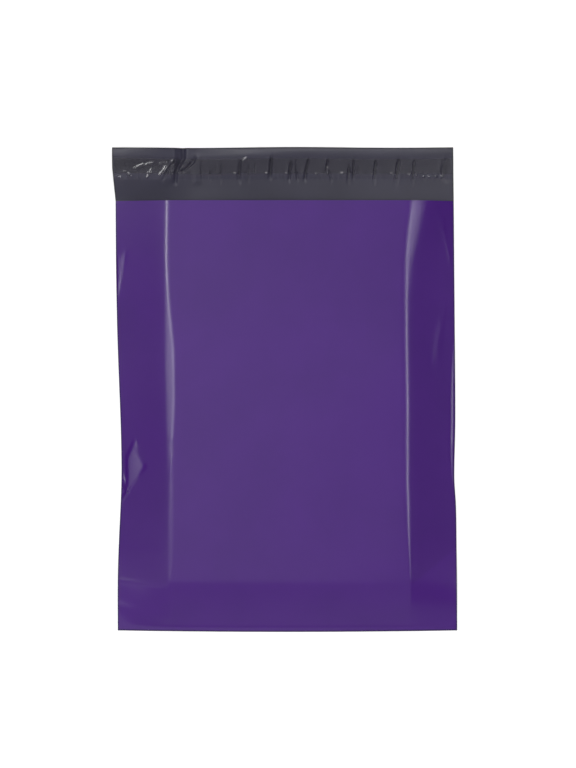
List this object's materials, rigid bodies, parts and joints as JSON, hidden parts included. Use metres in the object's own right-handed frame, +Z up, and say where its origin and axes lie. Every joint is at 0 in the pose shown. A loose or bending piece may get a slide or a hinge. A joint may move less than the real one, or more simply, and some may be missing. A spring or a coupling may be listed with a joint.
{
  "type": "poly mailer bag",
  "caption": "Flat film shipping bag with side welds, a folded bottom, an open mouth and a grey-lined flap with adhesive under a release liner, lying on its back.",
  "frame": {"origin": "centre of the bag's outline, at the level of the surface it lies on", "axes": "+Z up out of the front panel, +Y from the bottom fold towards the mouth and the flap, +X across the bag to the right weld as the front is seen"},
  "size_m": [0.257, 0.3612, 0.0115],
  "materials": {
    "mailer_film": "satin",
    "hot_melt": "gloss",
    "liner_film": "gloss"
  },
  "bodies": {
    "root": {"mailer_film": "mailer_film", "adhesive_strip": "hot_melt", "release_liner": "liner_film"}
  },
  "joints": []
}
